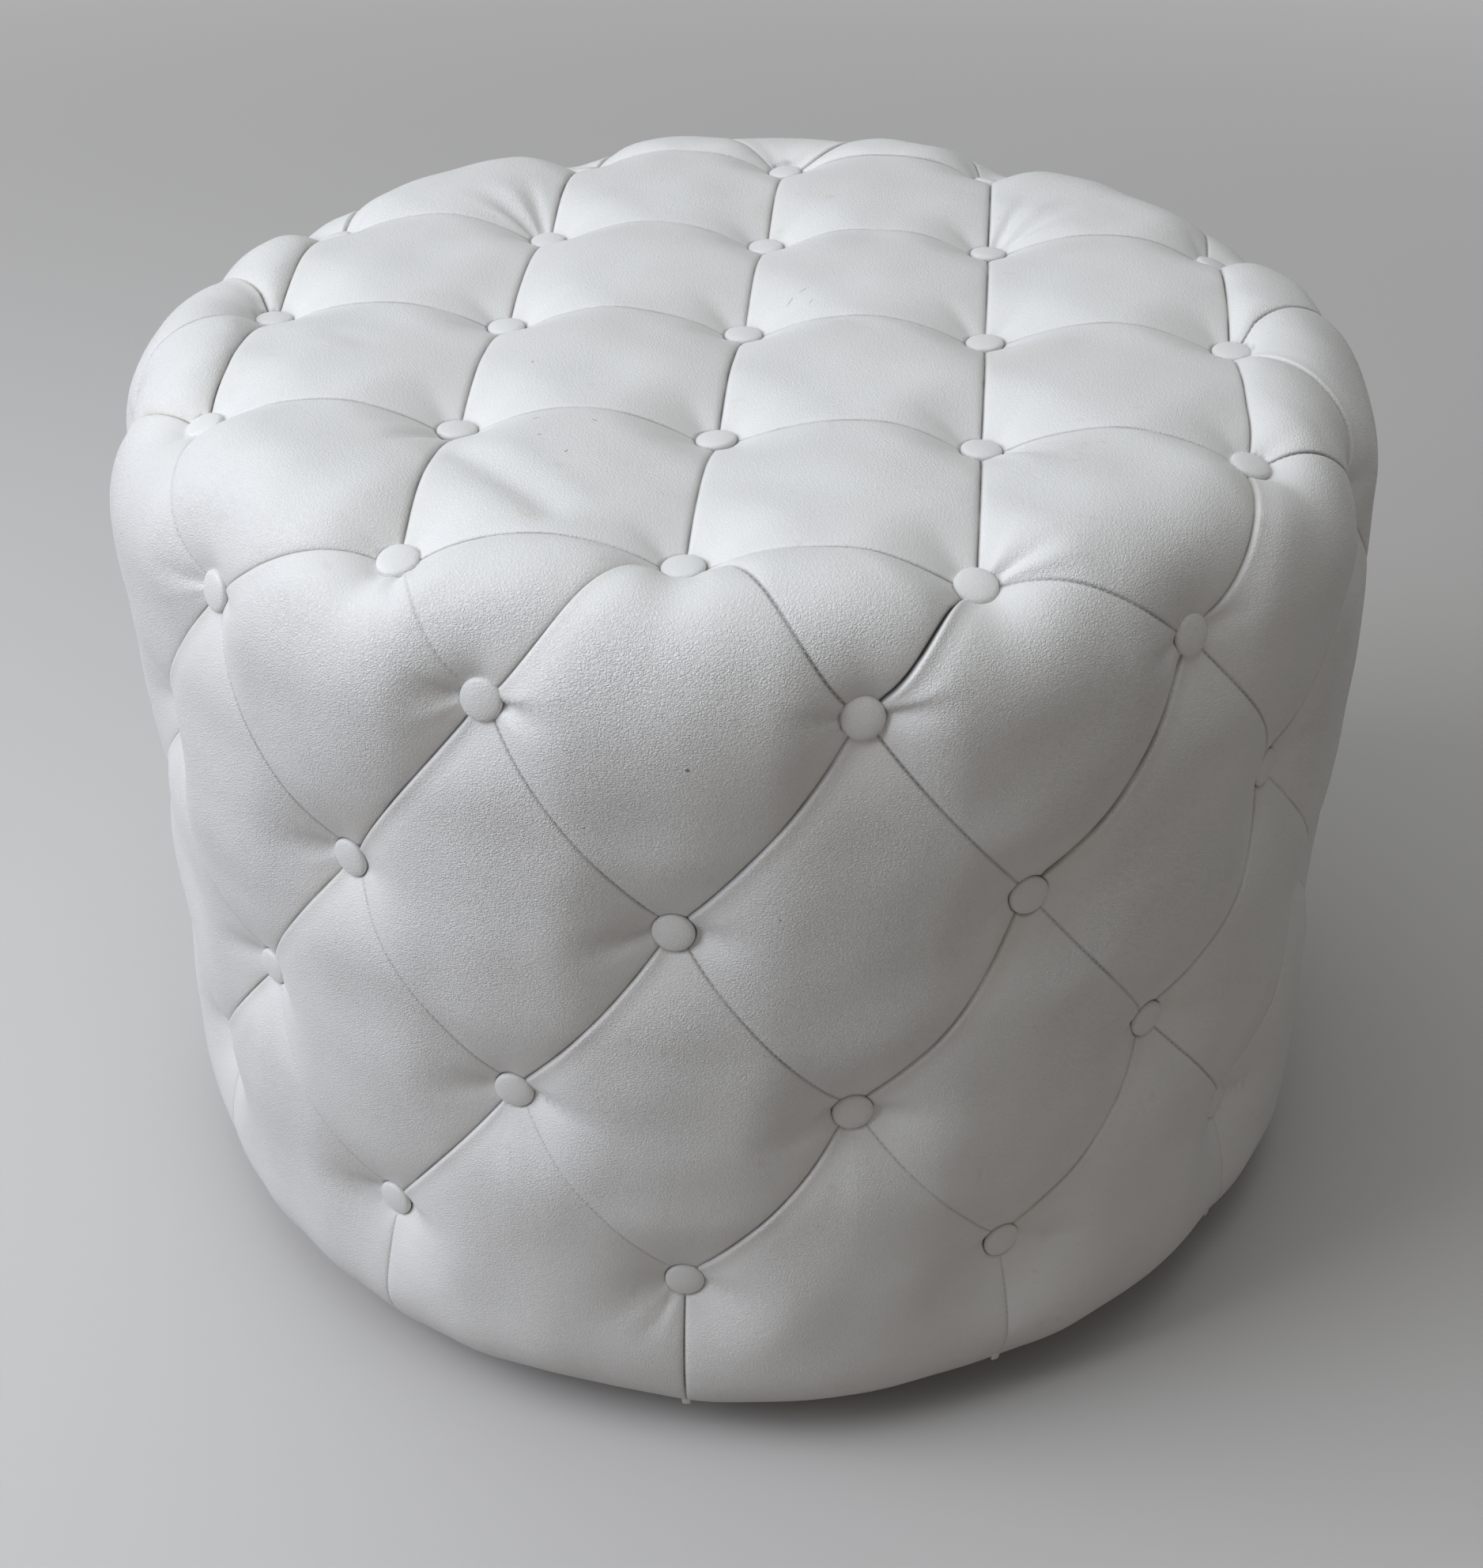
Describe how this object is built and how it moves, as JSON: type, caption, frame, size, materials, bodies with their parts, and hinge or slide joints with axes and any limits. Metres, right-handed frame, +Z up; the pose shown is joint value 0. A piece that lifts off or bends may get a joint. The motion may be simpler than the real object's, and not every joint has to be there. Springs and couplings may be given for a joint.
{
  "type": "swivel stool",
  "caption": "Round button-tufted drum stool in white leatherette that turns on a hidden ball-bearing plate over a low recessed base.",
  "frame": {"origin": "on the floor under the middle of the drum", "axes": "+Z up, the swivel's axis; -Y towards the button of the second row that faces the front; the top's square button grid lies along X and Y"},
  "size_m": [0.6, 0.6, 0.4494],
  "materials": {
    "white_leatherette": "fine pebbled grain, semi-matt",
    "button_leatherette": "smooth covered button",
    "foam": "matt",
    "plywood": "raw plywood",
    "black_board": "black stain, matt",
    "zinc_steel": "zinc plated",
    "black_plastic": "matt",
    "dust_cloth": "non-woven cloth"
  },
  "bodies": {
    "base": {"base_disc": "black_board", "lower_swivel_plate": "zinc_steel", "centre_pin": "zinc_steel", "glide_1": "black_plastic", "glide_2": "black_plastic", "glide_3": "black_plastic", "glide_4": "black_plastic", "lower_screw_1": "zinc_steel", "lower_screw_2": "zinc_steel", "lower_screw_3": "zinc_steel", "lower_screw_4": "zinc_steel"},
    "ball_ring": {"ball_ring": "zinc_steel"},
    "seat": {"upper_swivel_plate": "zinc_steel", "bottom_board": "plywood", "top_board": "plywood", "drum_wall": "plywood", "dust_cover": "dust_cloth", "seat_foam": "foam", "side_foam": "foam", "tufted_cover": "white_leatherette", "upper_screw_1": "zinc_steel", "upper_screw_2": "zinc_steel", "upper_screw_3": "zinc_steel", "upper_screw_4": "zinc_steel", "upper_button_row": "button_leatherette", "middle_button_row": "button_leatherette", "lower_button_row": "button_leatherette", "shoulder_button_01": "button_leatherette", "shoulder_button_02": "button_leatherette", "shoulder_button_03": "button_leatherette", "shoulder_button_04": "button_leatherette", "shoulder_button_05": "button_leatherette", "shoulder_button_06": "button_leatherette", "shoulder_button_07": "button_leatherette", "shoulder_button_08": "button_leatherette", "shoulder_button_09": "button_leatherette", "shoulder_button_10": "button_leatherette", "shoulder_button_11": "button_leatherette", "shoulder_button_12": "button_leatherette", "top_button_01": "button_leatherette", "top_button_02": "button_leatherette", "top_button_03": "button_leatherette", "top_button_04": "button_leatherette", "top_button_05": "button_leatherette", "top_button_06": "button_leatherette", "top_button_07": "button_leatherette", "top_button_08": "button_leatherette", "top_button_09": "button_leatherette", "top_button_10": "button_leatherette", "top_button_11": "button_leatherette", "top_button_12": "button_leatherette", "top_button_13": "button_leatherette", "top_button_14": "button_leatherette", "top_button_15": "button_leatherette", "top_button_16": "button_leatherette", "top_button_17": "button_leatherette", "top_button_18": "button_leatherette", "top_button_19": "button_leatherette", "top_button_20": "button_leatherette", "top_button_21": "button_leatherette"}
  },
  "joints": [
    {"name": "seat_swivel", "type": "hinge", "parent": "base", "child": "seat", "pos_m": [0, 0, 0.0219], "axis": [0, 0, 1], "continuous": true},
    {"name": "ball_ring_turn", "type": "hinge", "parent": "base", "child": "ball_ring", "pos_m": [0, 0, 0.0219], "axis": [0, 0, 1], "continuous": true}
  ],
  "couplings": [
    {"joint": "ball_ring_turn", "follows": "seat_swivel", "ratio": 0.5}
  ]
}
